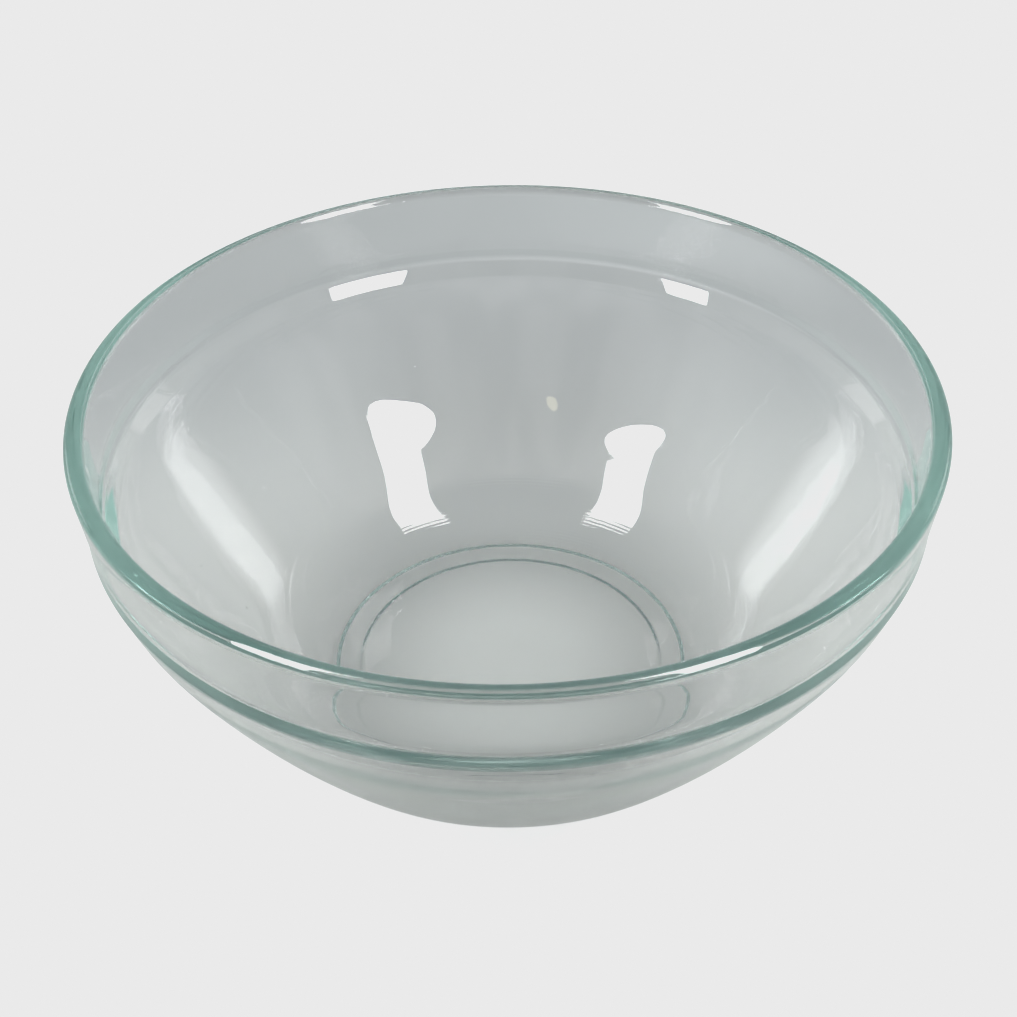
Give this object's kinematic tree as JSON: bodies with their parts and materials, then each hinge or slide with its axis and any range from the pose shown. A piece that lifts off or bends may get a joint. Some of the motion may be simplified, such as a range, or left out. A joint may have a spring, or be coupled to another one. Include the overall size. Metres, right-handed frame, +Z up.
{
  "type": "glass stacking bowl",
  "caption": "Round pressed glass bowl with a rounded lip, an upright band, a stacking shoulder, a curved body and a flat base on a foot ring.",
  "frame": {"origin": "centre of the circle that the foot ring stands on", "axes": "+Z up along the bowl's axis, out of its mouth; the bowl is round, so X and Y are free"},
  "size_m": [0.23, 0.23, 0.1],
  "materials": {
    "clear_glass": "fire-polished clear soda-lime glass, slightly green where it is seen edge on"
  },
  "bodies": {
    "root": {"glass_bowl": "clear_glass"}
  },
  "joints": []
}
